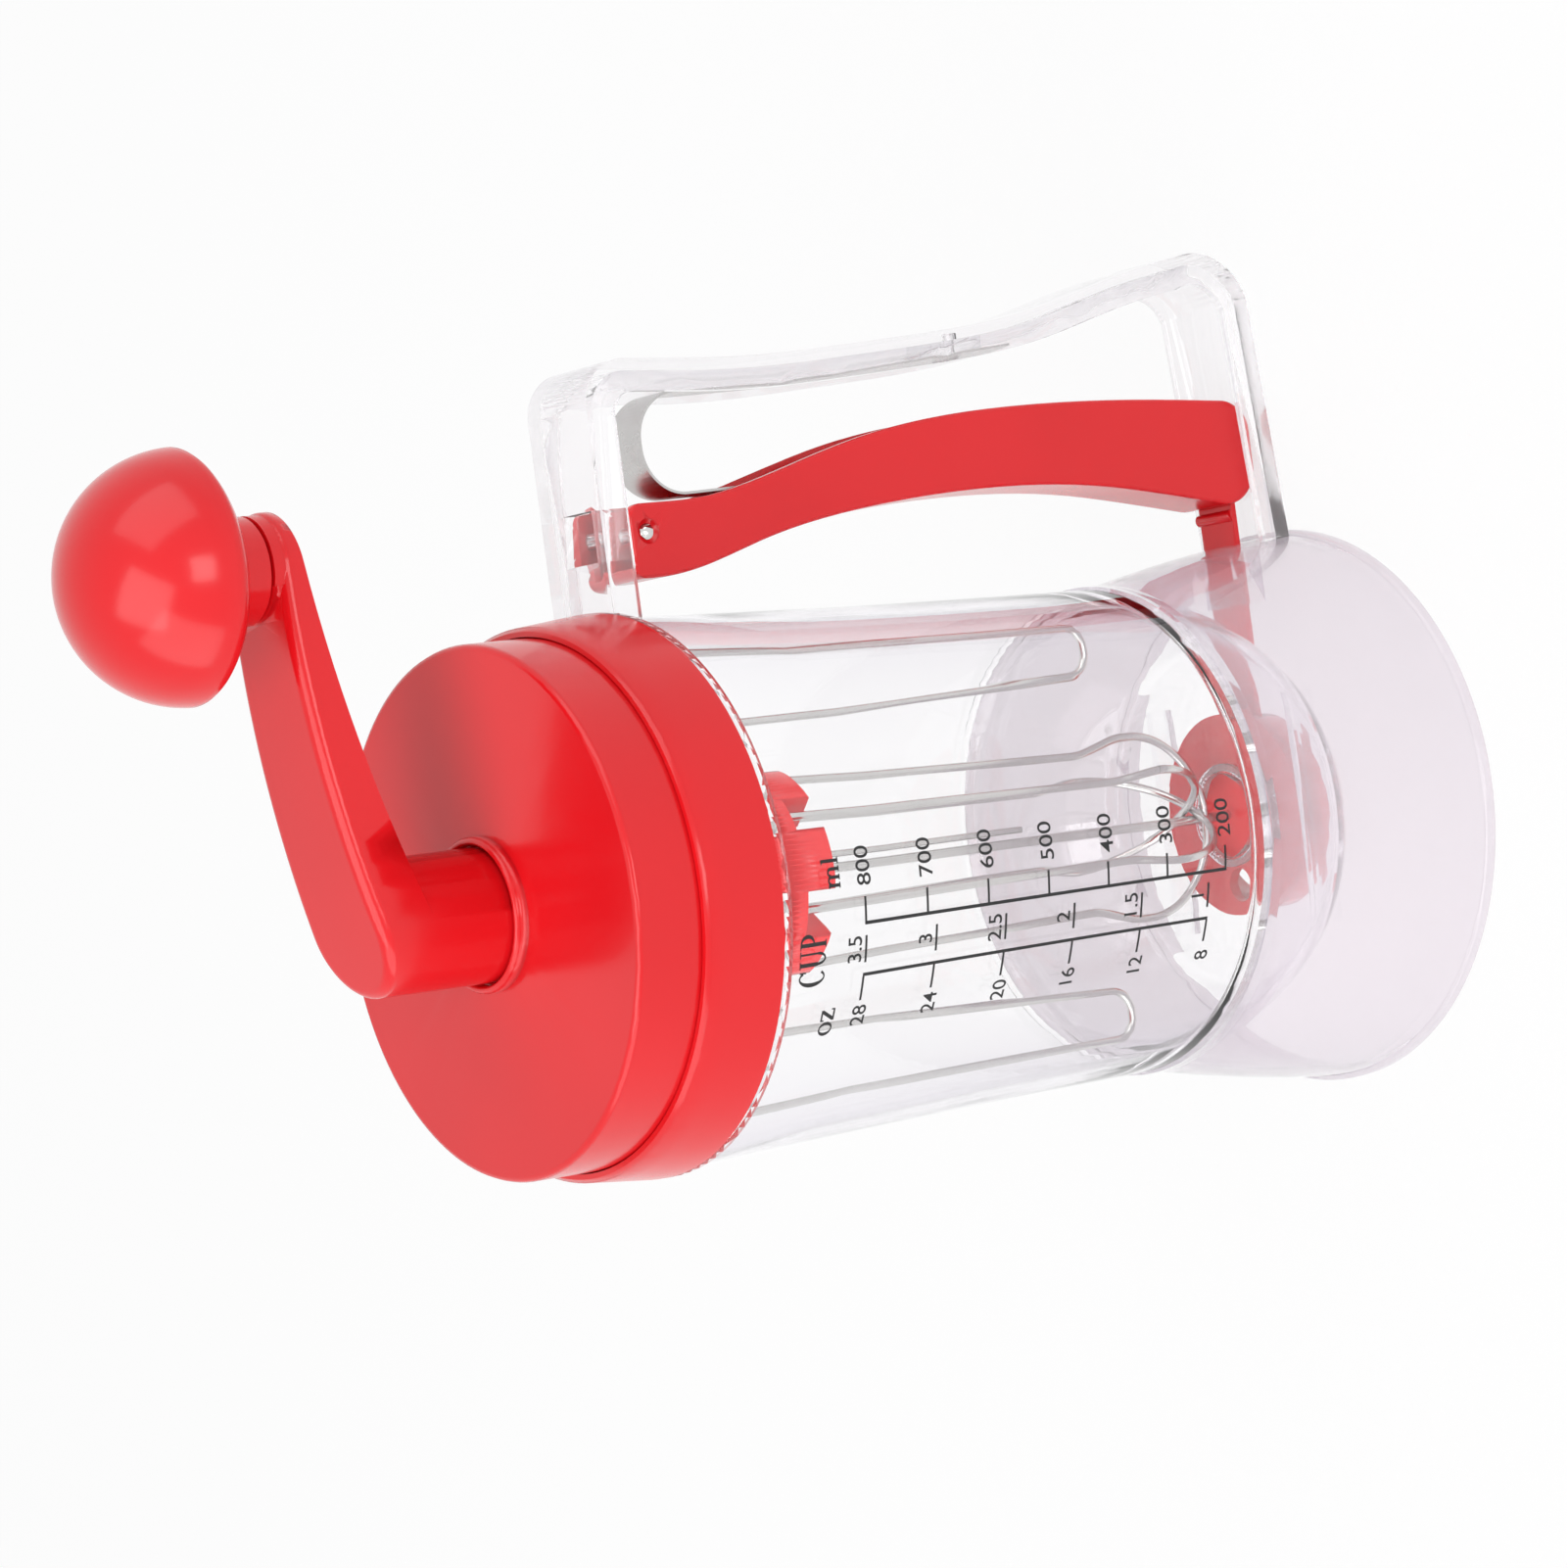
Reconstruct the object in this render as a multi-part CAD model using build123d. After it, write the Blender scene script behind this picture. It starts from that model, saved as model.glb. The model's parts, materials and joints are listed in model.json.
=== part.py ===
from build123d import *
import math
import os

# Hand-cranked batter mixer and dispenser, standing on its base rim.
# Millimetres. The origin is the centre of the base rim, +Z is up the cup's axis,
# and +X points to the handle.

# ---- cup ----
cup_top_z = 178.0
cup_wall = 2.0
neck_r = 49.4
flange_r = 52.3
flange_top_z = 166.6
flange_thick = 1.4
body_top_r = 51.3
body_mid_r = 49.2
body_mid_z = 118.0
body_bottom_r = 47.4
bead_r = 47.9
bead_height = 2.2
seam_z = 50.4
bowl_centre_z = 50.0
bowl_r = 45.2
bowl_wall = 2.2
bowl_floor_z = 19.5
bowl_floor_thick = 2.5
bowl_floor_fall = 1.1
outlet_r = 8.6

# ---- skirt and its slot ----
skirt_wall = 1.9
skirt_mid_r = 51.2
skirt_mid_z = 28.0
skirt_foot_r = 54.4
rim_r = 55.3
rim_height = 2.4
slot_clearance = 0.4

# ---- slide valve under the bowl ----
valve_cap_r = 20.3
valve_wall_r = 19.4
valve_wall = 1.6
valve_plate_thick = 2.4
valve_cap_height = 10.9
valve_gap = 0.6
port_r = 3.4
port_offset = 14.2
strap_width = 10.0
strap_thick = 1.2
strap_z = 13.3
barrel_r = 2.2
barrel_x = 66.0
bump_r = 1.2
bump_x = 58.9
seal_inner_r = 9.0
seal_outer_r = 10.4
seal_depth = 0.9
seal_gap = 0.1
rail_length = 46.0
rail_thick = 2.0
rail_gap = 0.3
rail_lip = 0.9
bracket_length = 11.5
bracket_lead = 5.0
bracket_wall = 2.0

# ---- handle: a channel strip bent round the hand ----
handle_width = 20.0
handle_web = 2.2
handle_flange = 2.0
handle_depth = 6.2
handle_top_z = 166.5
handle_top_reach = 98.0
handle_waist_x = 96.9
handle_waist_z = 132.0
handle_low_reach = 110.1
handle_low_z = 24.0
handle_foot_z = 3.4
handle_foot_slope = 0.078
handle_corner_r = 9.0

# ---- trigger, its pin and its spring ----
pin_x = 66.0
pin_z = 154.7
pin_r = 1.5
pin_fit = 0.05
pin_length = 13.6
pin_recess_r = 2.4
pin_recess = 0.7
lug_r = 4.8
trigger_width = 15.0
trigger_wall = 2.0
trigger_web = 2.2
trigger_edge = 0.8
lug_gap = 0.3
trigger_lift = 1.0
trigger_foot_x = 61.2
trigger_foot_z = 17.0
trigger_floor = 1.4
barrel_gap = 0.6
rib_thick = 1.4
rib_rise = 2.5
spring_thick = 0.5
spring_width = 10.0
spring_gap = 0.3
spring_end_z = 64.0
spring_end_inset = 0.5
spring_knee_z = 118.0
spring_knee_inset = 4.7
spring_top_inset = 6.4
spring_top_gap = 12.1
spring_lower_x = 72.4
spring_lower_lean = 0.5
spring_tip_z = 131.0
spring_bend_ease = 0.6
spring_knee_r = 60.0
rivet_r = 1.5
rivet_head_r = 2.6
rivet_head = 0.9
rivet_length = 3.8
rivet_z = 76.0

# ---- lid ----
lid_top_z = 196.0
cap_r = 49.0
cap_wall = 2.0
cap_plate = 2.4
cap_step_z = 180.5
cap_edge = 1.2
ring_top_z = 182.6
ring_bottom_z = 167.0
ring_top_r = 51.0
ring_bottom_r = 52.3
ring_gap = 0.5
lid_rest_gap = 0.1
plug_r = 46.9
plug_wall = 1.7
plug_bottom_z = 172.0
lid_seal_height = 2.2
lid_seal_z = 174.0
lid_seal_grip = 0.05
collar_r = 14.3
collar_wall = 1.4
collar_height = 2.6
shaft_boss_r = 11.0
shaft_boss = 3.2

# ---- crank ----
hub_r = 12.4
hub_bottom_z = 196.8
hub_top_z = 219.0
crank_reach = 65.8
arm_end_r = 10.2
boss_top_z = 236.0
boss_height = 5.0
boss_step = 0.4
arm_fillet = 2.4
arm_back = 2.0
arm_mid_x = 42.0
arm_crest_x = 29.0
arm_root_drop = 10.6
arm_root_rise = 2.4
arm_mid_drop = 9.7
arm_crest_drop = 3.8
arm_end_drop = 4.6
arm_end_top = 1.4
shaft_r = 4.0
shaft_flat = 3.3
shaft_top_z = 212.0
shaft_bottom_z = 142.0
bush_r = 7.0
bush_flange_r = 9.5
bush_flange = 0.6
shaft_fit = 0.05
knob_r = 23.0
knob_neck_r = 9.8
knob_gap = 0.4
knob_flare_z = 245.0
knob_rim_z = 250.0
knob_height = 22.0
spindle_r = 3.0
spindle_bottom_z = 229.0
spindle_head_r = 4.4
spindle_head = 2.4
spindle_top_z = 258.0
spindle_fit = 0.06

# ---- gears under the cap ----
gear_module = 1.5
sun_teeth = 18
planet_teeth = 12
planet_count = 3
gear_bottom_z = 183.6
gear_height = 6.2
gear_backlash = 0.12
gear_addendum = 1.2
gear_dedendum = 1.8
pressure_angle = math.radians(20)
planet_pin_r = 2.0
planet_head_r = 3.2
planet_head = 1.1
planet_boss_r = 4.6
ring_rim = 2.6
ring_floor = 2.2
ring_floor_top_z = 181.8
ring_hub_r = 8.5
ring_top_gap = 0.2

# ---- outer beaters ----
plate_top_z = 168.0
plate_thick = 3.4
plate_r = 46.2
plate_rim_r = 43.0
clip_r = 7.0
clip_thick = 1.1
clip_gap = 0.3
plate_screw_r = 1.2
plate_screw_head_r = 2.0
plate_screw_head = 1.2
plate_screw_circle = 6.3
plate_screw_length = 7.0
beater_wire_r = 0.8
beater_outer_top = 42.6
beater_outer_bottom = 40.4
beater_inner_top = 27.8
beater_inner_bottom = 31.0
beater_bottom_z = 52.0
beater_bend_r = 4.4
socket_depth = 2.2

# ---- whisk ----
whisk_wire_r = 0.8
whisk_top_r = 17.4
whisk_neck_r = 15.3
whisk_neck_z = 58.0
whisk_bulb_r = 17.8
whisk_bulb_z = 44.0
whisk_bottom_z = 27.4
whisk_offset = 1.9
whisk_stack = 1.75
whisk_loops = 3
holder_r = 19.6
holder_bottom_z = 139.0
holder_thick = 4.0
holder_hub_r = 8.0
holder_hub = 7.0
lump_height = 6.4
lump_inner_r = 12.2
lump_angle = 17.0
stem_r = 0.95
stem_bottom_z = 20.3
rod_r = 0.65
rod_x = 2.6
rod_bottom_z = 73.0

# ---- worked-out places ----
cup_inner = cup_wall
flange_bottom_z = flange_top_z - flange_thick
valve_top_z = bowl_floor_z - valve_gap
valve_plate_z = valve_top_z - valve_plate_thick
valve_bottom_z = valve_top_z - valve_cap_height
spring_upper_x = handle_top_reach - spring_top_inset
spring_bend_z = handle_top_z - handle_web - spring_top_gap
spring_end = (handle_waist_x - spring_end_inset, spring_end_z)
spring_knee = (handle_waist_x - spring_knee_inset, spring_knee_z)
spring_bend_r = (spring_upper_x - spring_lower_x) / 2 - spring_bend_ease
sun_pitch_r = gear_module * sun_teeth / 2
planet_pitch_r = gear_module * planet_teeth / 2
planet_circle_r = sun_pitch_r + planet_pitch_r
ring_teeth = sun_teeth + 2 * planet_teeth
ring_pitch_r = gear_module * ring_teeth / 2
ring_root_r = ring_pitch_r + gear_dedendum
gear_top_z = gear_bottom_z + gear_height
plate_bottom_z = plate_top_z - plate_thick
cap_under_z = lid_top_z - cap_plate
handle_half = handle_width / 2
trigger_half = trigger_width / 2
skirt_inner_r = skirt_foot_r - skirt_wall
bracket_x = skirt_inner_r - bracket_length
trigger_floor_z = strap_z - barrel_r - trigger_lift - 0.1
knob_ball_r = (knob_r ** 2 + knob_height ** 2) / (2 * knob_height)


def turned(points):
    """A solid of revolution about Z from a closed outline of (radius, height) points."""
    outline = make_face(Polyline(*points, close=True))
    return revolve(Plane.XZ * outline, Axis.Z)


def turned_edges(edges):
    """A solid of revolution about Z from edges that close an outline."""
    return revolve(Plane.XZ * make_face(edges), Axis.Z)


def disc(radius, bottom, top, x=0.0, y=0.0):
    """An upright cylinder between two heights."""
    return Pos(x, y, (bottom + top) / 2) * Cylinder(radius, top - bottom)


def tube(outer, inner, bottom, top, x=0.0, y=0.0):
    """An upright tube between two heights."""
    return disc(outer, bottom, top, x, y) - disc(inner, bottom - 1, top + 1, x, y)


def block(x0, x1, y0, y1, z0, z1):
    """A box between two corners."""
    centre = Pos((x0 + x1) / 2, (y0 + y1) / 2, (z0 + z1) / 2)
    return centre * Box(x1 - x0, y1 - y0, z1 - z0)


def side_slab(face, half_width):
    """A face drawn in X and Z, given its width across the handle."""
    return Pos(0, half_width, 0) * extrude(Plane.XZ * face, 2 * half_width)


def cross_pin(radius, x, z, half_length):
    """A cylinder across the handle, along Y."""
    return Pos(x, 0, z) * Rot(90, 0, 0) * Cylinder(radius, 2 * half_length)


# ---------------------------------------------------------------- cup and base
def bowl_reach(radius, height):
    """Radius of the bowl's sphere at a height."""
    return math.sqrt(radius ** 2 - (bowl_centre_z - height) ** 2)


def cup():
    """Clear cup with its neck, flange, tapering wall and round bowl."""
    inner_bowl_r = bowl_r - bowl_wall
    floor_edge_z = bowl_floor_z + bowl_floor_thick + bowl_floor_fall
    floor_edge_r = bowl_reach(inner_bowl_r, floor_edge_z)
    outer_edge_r = bowl_reach(bowl_r, bowl_floor_z)
    inner_foot_z = seam_z + 3.6
    inner_top_z = flange_bottom_z - cup_wall
    neck_inner_r = neck_r - cup_inner
    outer_mid_z = (bowl_floor_z + seam_z) / 2
    inner_mid_z = (floor_edge_z + bowl_centre_z) / 2
    seam_reach = bowl_reach(bowl_r, seam_z)
    groove_top_z = bowl_floor_z + seal_depth
    edges = Polyline(
        (neck_inner_r, cup_top_z),
        (neck_r, cup_top_z),
        (neck_r, flange_top_z),
        (flange_r, flange_top_z),
        (flange_r, flange_bottom_z),
        (body_top_r, flange_bottom_z),
    )
    edges += ThreePointArc(
        (body_top_r, flange_bottom_z),
        (body_mid_r, body_mid_z),
        (body_bottom_r, seam_z + bead_height),
    )
    edges += Polyline(
        (body_bottom_r, seam_z + bead_height),
        (bead_r, seam_z + bead_height - 0.5),
        (bead_r, seam_z),
        (seam_reach, seam_z),
    )
    edges += ThreePointArc(
        (seam_reach, seam_z),
        (bowl_reach(bowl_r, outer_mid_z), outer_mid_z),
        (outer_edge_r, bowl_floor_z),
    )
    edges += Polyline(
        (outer_edge_r, bowl_floor_z),
        (seal_outer_r, bowl_floor_z),
        (seal_outer_r, groove_top_z),
        (seal_inner_r, groove_top_z),
        (seal_inner_r, bowl_floor_z),
        (outlet_r, bowl_floor_z),
        (outlet_r, bowl_floor_z + bowl_floor_thick),
        (floor_edge_r, floor_edge_z),
    )
    edges += ThreePointArc(
        (floor_edge_r, floor_edge_z),
        (bowl_reach(inner_bowl_r, inner_mid_z), inner_mid_z),
        (inner_bowl_r, bowl_centre_z),
    )
    edges += Line((inner_bowl_r, bowl_centre_z), (body_bottom_r - cup_inner, inner_foot_z))
    edges += ThreePointArc(
        (body_bottom_r - cup_inner, inner_foot_z),
        (body_mid_r - cup_inner, body_mid_z),
        (body_top_r - cup_inner, inner_top_z),
    )
    edges += Polyline(
        (body_top_r - cup_inner, inner_top_z),
        (neck_inner_r, flange_top_z),
        (neck_inner_r, cup_top_z),
    )
    return turned_edges(edges)


def skirt_shell():
    """The flared skirt before its slot is cut."""
    top_inner_r = bowl_r + 0.25
    edges = Polyline((top_inner_r, seam_z), (bead_r, seam_z), (bead_r, seam_z - bead_height))
    edges += Line((bead_r, seam_z - bead_height), (body_bottom_r, seam_z - bead_height - 0.5))
    edges += ThreePointArc(
        (body_bottom_r, seam_z - bead_height - 0.5),
        (skirt_mid_r, skirt_mid_z),
        (skirt_foot_r, rim_height),
    )
    edges += Polyline(
        (skirt_foot_r, rim_height),
        (rim_r - 0.4, rim_height),
        (rim_r, rim_height - 0.4),
        (rim_r, 0.4),
        (rim_r - 0.4, 0),
        (skirt_inner_r, 0),
        (skirt_inner_r, rim_height),
    )
    edges += ThreePointArc(
        (skirt_inner_r, rim_height),
        (skirt_mid_r - skirt_wall, skirt_mid_z),
        (top_inner_r, seam_z - bead_height),
    )
    edges += Line((top_inner_r, seam_z - bead_height), (top_inner_r, seam_z))
    return turned_edges(edges)


def slot_hole(x0, x1):
    """The passage for the valve's strap."""
    half_width = strap_width / 2 + slot_clearance
    half_height = strap_thick / 2 + slot_clearance
    return block(x0, x1, -half_width, half_width, strap_z - half_height, strap_z + half_height)


def skirt_base():
    """Clear flared skirt that the cup stands on, with the strap's slot."""
    return skirt_shell() - slot_hole(bracket_x, skirt_foot_r + 2)


def strap_bracket():
    """Clear bracket inside the skirt that keeps the strap level."""
    half = strap_width / 2 + slot_clearance + bracket_wall
    height = strap_thick / 2 + slot_clearance + bracket_wall
    reach = skirt_foot_r + 1
    body = block(bracket_x, reach, -half, half, strap_z - height, strap_z + height)
    window_half = half - bracket_wall
    lead_x = bracket_x + bracket_lead
    body -= block(lead_x, reach, -window_half, window_half, strap_z, strap_z + height + 1)
    body -= slot_hole(bracket_x - 1, reach)
    return (body - skirt_shell()).solids().sort_by(SortBy.DISTANCE)[0]


def guide_rails():
    """Two clear rails under the bowl that carry the valve's flange."""
    inner = valve_cap_r + rail_gap
    lip_top = valve_plate_z - rail_gap
    lip_bottom = lip_top - rail_thick * 0.8
    half = rail_length / 2
    rail = block(-half, half, inner, inner + rail_thick, lip_bottom, bowl_floor_z)
    rail += block(-half, half, inner - rail_lip, inner, lip_bottom, lip_top)
    return Compound(children=[rail.solid(), mirror(rail, Plane.XZ).solid()])


def outlet_seal():
    """Soft ring in the bowl's floor round the outlet."""
    return tube(seal_outer_r, seal_inner_r, valve_top_z + seal_gap, bowl_floor_z + seal_depth)


def slide_valve():
    """Red valve: a hollow round cap with an off-centre port, and its strap."""
    cap = disc(valve_cap_r, valve_plate_z, valve_top_z)
    cap += disc(valve_wall_r, valve_bottom_z, valve_plate_z)
    cap -= disc(valve_wall_r - valve_wall, valve_bottom_z - 1, valve_plate_z)
    cap -= disc(port_r, valve_plate_z - 1, valve_top_z + 1, x=-port_offset)
    half = strap_width / 2
    bottom = strap_z - strap_thick / 2
    top = strap_z + strap_thick / 2
    strap = block(valve_wall_r - valve_wall, barrel_x, -half, half, bottom, top)
    strap -= disc(valve_wall_r - valve_wall, bottom - 1, top + 1)
    strap += cross_pin(barrel_r, barrel_x, strap_z, half)
    strap += cross_pin(bump_r, bump_x, top, half)
    return (cap + strap).solid()


# ---------------------------------------------------------------- handle
def handle_loop(inset):
    """The handle's outline closed on the cup's side, moved in by an inset."""
    top = handle_top_z - inset
    foot_x = body_bottom_r - 6
    corner = handle_corner_r - inset * 0.7
    waist = handle_waist_x - inset
    low_x = handle_low_reach - inset
    foot_left = handle_foot_z + inset
    low_corner_z = foot_left + (low_x - corner - rim_r) * handle_foot_slope
    path = Line((foot_x, foot_left), (foot_x, top))
    path += Line((foot_x, top), (handle_top_reach - inset - corner, top))
    path += ThreePointArc(
        (handle_top_reach - inset - corner, top),
        (handle_top_reach - inset - corner * 0.293, top - corner * 0.293),
        (handle_top_reach - inset, top - corner),
    )
    path += Spline(
        (handle_top_reach - inset, top - corner),
        (waist, handle_waist_z),
        (handle_waist_x + 1.1 - inset, 101.0),
        (102.3 - inset, 59.0),
        (low_x, handle_low_z),
        tangents=((-0.05, -1), (0.12, -1)),
    )
    path += ThreePointArc(
        (low_x, handle_low_z),
        (low_x - corner * 0.36, low_corner_z + corner * 0.36),
        (low_x - corner, low_corner_z),
    )
    path += Line((low_x - corner, low_corner_z), (foot_x, foot_left))
    return make_face(path)


def handle_lug():
    """The lug inside the upper leg that carries the trigger's pin."""
    half = trigger_half - trigger_wall - lug_gap
    top = handle_top_z - handle_web
    lug = block(pin_x - lug_r, pin_x + lug_r, -half, half, pin_z, top + 0.5)
    lug += cross_pin(lug_r, pin_x, pin_z, half)
    return lug


def spring_pad():
    """The pad on the bar that the spring is riveted to."""
    outer = side_slab(handle_loop(handle_web / 2), spring_width / 2 - 1)
    reach = block(spring_x(rivet_z), handle_low_reach, -20, 20, rivet_z - 6, rivet_z + 6)
    behind = side_slab(make_face(spring_side()), spring_width)
    return (outer & reach) - behind - spring_strip()


def handle():
    """Clear handle: a channel strip with its web outside and its flanges inside."""
    strip = side_slab(handle_loop(0), handle_half)
    strip -= side_slab(handle_loop(handle_depth), handle_width)
    strip -= side_slab(handle_loop(handle_web), handle_half - handle_flange)
    strip += handle_lug()
    strip += spring_pad()
    strip -= cross_pin(pin_r, pin_x, pin_z, handle_width)
    strip -= rivet_shape()
    strip -= disc(body_top_r - 0.5, seam_z + bead_height, cup_top_z)
    strip -= cup_blank()
    strip -= skirt_blank()
    return strip.solids().sort_by(SortBy.VOLUME)[-1]


def cup_blank():
    """The cup's outside as one filled solid, to seat the handle on it."""
    return cup() + disc(body_top_r - 1.5, seam_z + 4, flange_top_z)


def skirt_blank():
    """The skirt's outside as one filled solid, to seat the handle on it."""
    return skirt_shell() + disc(body_bottom_r, 0, seam_z)


def trigger_pin():
    """Steel pin of the trigger."""
    return cross_pin(pin_r, pin_x, pin_z, pin_length / 2)


# ---------------------------------------------------------------- spring
def spring_path():
    """The spring's middle line, from the bar round the bend to the trigger."""
    return FilletPolyline(
        spring_end,
        spring_knee,
        (spring_upper_x, spring_bend_z),
        (spring_lower_x, spring_bend_z),
        (spring_lower_x + spring_lower_lean, spring_tip_z),
        radius=(spring_knee_r, spring_bend_r, spring_bend_r),
    )


def spring_side():
    """The outline of all that lies on the trigger's side of the spring's upper leg."""
    return Polyline(
        (spring_end[0], spring_end[1] - 8),
        spring_end,
        spring_knee,
        (spring_lower_x, spring_knee[1]),
        (spring_lower_x, spring_end[1] - 8),
        close=True,
    )


def spring_x(height):
    """Where the spring's upper leg lies at a height."""
    share = (height - spring_end[1]) / (spring_knee[1] - spring_end[1])
    return spring_end[0] + (spring_knee[0] - spring_end[0]) * share


def spring_strip():
    """The spring's strip before the rivet's hole."""
    return side_slab(trace(spring_path(), spring_thick), spring_width / 2)


def leaf_spring():
    """U-shaped steel leaf spring."""
    return (spring_strip() - rivet_shape()).solid()


def rivet_shape():
    """The rivet's outside: its shank through the spring and pad, and its head."""
    face_x = spring_x(rivet_z) - spring_thick / 2
    shank = Pos(face_x + rivet_length / 2, 0, rivet_z) * Rot(0, 90, 0)
    shank = shank * Cylinder(rivet_r, rivet_length)
    head = Pos(face_x - rivet_head / 2, 0, rivet_z) * Rot(0, 90, 0)
    return shank + head * Cylinder(rivet_head_r, rivet_head)


# ---------------------------------------------------------------- trigger
def trigger_inner_line(shift):
    """The trigger's edge on the cup's side, moved towards the bar by a shift."""
    return Spline(
        (57.4 + shift, pin_z + 2.0),
        (58.2 + shift, 145.0),
        (62.7 + shift, 128.0),
        (66.8 + shift, 104.0),
        (68.4 + shift, 77.0),
        (66.9 + shift, 48.0),
        (63.6 + shift, 29.0),
        (trigger_foot_x + shift, trigger_foot_z),
    )


def trigger_outline():
    """The trigger seen from the side."""
    top_z = pin_z + 4.0
    path = trigger_inner_line(0)
    foot = (trigger_foot_x, trigger_foot_z)
    bottom_z = trigger_floor_z - trigger_floor
    corner_z = bottom_z + 6.3
    path += ThreePointArc(foot, (62.9, 10.9), (68.4, bottom_z))
    path += Line((68.4, bottom_z), (75.6, bottom_z))
    path += ThreePointArc((75.6, bottom_z), (79.9, bottom_z + 1.9), (81.7, corner_z))
    path += Spline(
        (81.7, corner_z),
        (83.2, 36.0),
        (83.9, 62.0),
        (80.3, 103.5),
        (75.4, 123.0),
        (71.7, 140.0),
        (71.3, top_z - 3.0),
        tangents=((0.08, 1), (0, 1)),
    )
    path += ThreePointArc((71.3, top_z - 3.0), (70.4, top_z - 0.9), (68.3, top_z))
    path += Line((68.3, top_z), (60.4, top_z))
    path += ThreePointArc((60.4, top_z), (58.2, top_z - 0.6), (57.4, pin_z + 2.0))
    return make_face(path)


def trigger_hollow():
    """The channel inside the trigger, open towards the bar."""
    path = trigger_inner_line(trigger_web)
    foot_x = trigger_foot_x + trigger_web
    path += Polyline(
        (foot_x, trigger_foot_z),
        (foot_x, trigger_floor_z),
        (handle_top_reach, trigger_floor_z),
        (handle_top_reach, pin_z + 2.0),
        (57.4 + trigger_web, pin_z + 2.0),
    )
    return make_face(path)


def trigger_slot():
    """The slot in the trigger's web that the strap's barrel passes through."""
    half = strap_width / 2 + slot_clearance
    bottom = strap_z - strap_thick / 2 - slot_clearance - trigger_lift
    top = strap_z + barrel_r + slot_clearance
    return block(trigger_foot_x - 4, trigger_foot_x + trigger_web + 0.4, -half, half, bottom, top)


def trigger():
    """Red squeeze trigger: a curved channel, its pin end, spring seat and valve rib."""
    inside = trigger_half - trigger_wall
    body = side_slab(trigger_outline(), trigger_half).solid()
    rims = [edge for face in body.faces().filter_by(Axis.Y) for edge in face.edges()]
    body = fillet([edge for edge in rims if edge.length > trigger_width * 3], trigger_edge)
    body -= side_slab(trigger_hollow(), inside)
    body -= block(57.4 + trigger_web, 80, -inside, inside, pin_z - lug_r - 1.5, pin_z + 10)
    seat_x = spring_lower_x + spring_lower_lean * 0.8 - spring_thick / 2 - spring_gap
    body += block(63.0, seat_x, -inside, inside, spring_tip_z - 1.0, spring_tip_z + 3.0)
    rib_x = barrel_x + barrel_r + barrel_gap
    rib_top = strap_z + barrel_r + rib_rise
    body += block(rib_x, rib_x + rib_thick, -inside, inside, trigger_floor_z - 0.5, rib_top)
    body -= trigger_slot()
    body -= cross_pin(pin_r + pin_fit, pin_x, pin_z, handle_width)
    for side in (-1, 1):
        recess = Pos(pin_x, side * trigger_half, pin_z) * Rot(90, 0, 0)
        body -= recess * Cylinder(pin_recess_r, 2 * pin_recess)
    return body.solid()


# ---------------------------------------------------------------- lid
def lid_cap():
    """Red gear housing: top plate, collar, side wall, rim flange and plug."""
    flange_z = cup_top_z + lid_rest_gap
    inner_r = cap_r - cap_wall
    plug_inner_r = plug_r - plug_wall
    groove_top = lid_seal_z + lid_seal_height
    groove_r = plug_r - 1.0
    collar_inner = collar_r - collar_wall
    collar_top = lid_top_z + collar_height
    body = turned([
        (bush_r, cap_under_z - shaft_boss),
        (bush_r, lid_top_z),
        (collar_inner, lid_top_z),
        (collar_inner, collar_top - 0.5),
        (collar_inner + 0.4, collar_top),
        (collar_r - 0.5, collar_top),
        (collar_r, collar_top - 0.7),
        (collar_r, lid_top_z),
        (cap_r - cap_edge, lid_top_z),
        (cap_r - cap_edge * 0.3, lid_top_z - cap_edge * 0.3),
        (cap_r, lid_top_z - cap_edge),
        (cap_r, cap_step_z),
        (ring_top_r - 1.2, cap_step_z),
        (ring_top_r - 1.2, flange_z),
        (plug_r, flange_z),
        (plug_r, groove_top),
        (groove_r, groove_top),
        (groove_r, lid_seal_z),
        (plug_r, lid_seal_z),
        (plug_r, plug_bottom_z),
        (plug_inner_r, plug_bottom_z),
        (plug_inner_r, cap_step_z),
        (inner_r, cap_step_z + 1.5),
        (inner_r, cap_under_z),
        (shaft_boss_r, cap_under_z),
        (shaft_boss_r, cap_under_z - shaft_boss),
    ])
    for x, y in planet_places():
        body += disc(planet_boss_r, gear_top_z + ring_top_gap, cap_under_z + 0.5, x, y)
        body -= disc(planet_pin_r, gear_top_z - 1, cap_under_z + cap_plate * 0.5, x, y)
    return body.solid()


def lid_ring():
    """Red outer ring that draws the cap down on the cup's rim."""
    inner_r = neck_r + ring_gap
    lip_z = cap_step_z + 0.1
    return turned([
        (inner_r, ring_bottom_z),
        (ring_bottom_r, ring_bottom_z),
        (ring_bottom_r, ring_bottom_z + 1.0),
        (ring_top_r, ring_top_z - 1.0),
        (ring_top_r - 0.8, ring_top_z),
        (cap_r + 0.25, ring_top_z),
        (cap_r + 0.25, lip_z),
        (inner_r, lip_z),
    ])


def lid_seal():
    """Soft ring round the plug that seals it in the cup's neck."""
    outer = neck_r - cup_inner - lid_seal_grip
    return tube(outer, plug_r - 1.0, lid_seal_z, lid_seal_z + lid_seal_height)


def shaft_bush():
    """Flanged plain bearing of the crank's shaft."""
    bush = tube(bush_r, shaft_r + shaft_fit, cap_under_z - shaft_boss, lid_top_z)
    return bush + tube(bush_flange_r, shaft_r + shaft_fit, lid_top_z, lid_top_z + bush_flange)


# ---------------------------------------------------------------- crank and knob
def double_flat(bottom, top):
    """The shaft's section: a round bar with two flats."""
    width = 2 * shaft_flat
    return disc(shaft_r, bottom, top) & block(-shaft_r, shaft_r, -width / 2, width / 2, bottom, top)


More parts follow.
